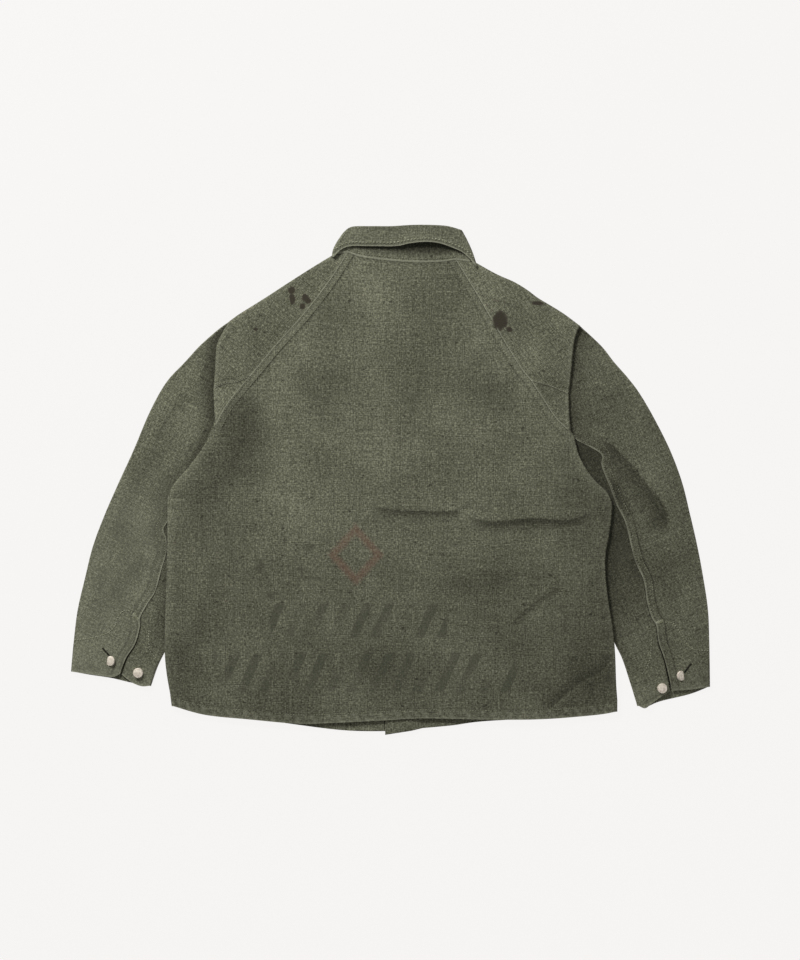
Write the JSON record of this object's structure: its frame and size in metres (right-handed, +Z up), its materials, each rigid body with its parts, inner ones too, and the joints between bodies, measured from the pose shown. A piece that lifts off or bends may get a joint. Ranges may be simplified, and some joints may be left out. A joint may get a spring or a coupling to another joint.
{
  "type": "raglan jacket",
  "caption": "Oversize canvas raglan work jacket laid flat with its back up: turned-down collar, sides and shoulders folded over the sleeves, buttoned cuff vents.",
  "frame": {"origin": "centre of the jacket's outline, on the surface it lies on", "axes": "+X across the jacket from cuff to cuff, +Y from hem to collar, +Z up out of the back panel"},
  "size_m": [0.958, 0.764, 0.0156],
  "materials": {
    "canvas": "matte slub canvas",
    "button": "worn nickel plate"
  },
  "bodies": {
    "root": {"back": "canvas", "shoulder_left": "canvas", "underarm_left": "canvas", "top_sleeve_left": "canvas", "under_sleeve_left": "canvas", "sleeve_front_left": "canvas", "cuff_underlap_left": "canvas", "front_left": "canvas", "facing_left": "canvas", "collar_front_left": "canvas", "shoulder_right": "canvas", "underarm_right": "canvas", "top_sleeve_right": "canvas", "under_sleeve_right": "canvas", "sleeve_front_right": "canvas", "cuff_underlap_right": "canvas", "front_right": "canvas", "facing_right": "canvas", "collar_front_right": "canvas", "collar_back": "canvas", "button_left_1": "button", "button_left_2": "button", "button_right_1": "button", "button_right_2": "button"}
  },
  "joints": []
}
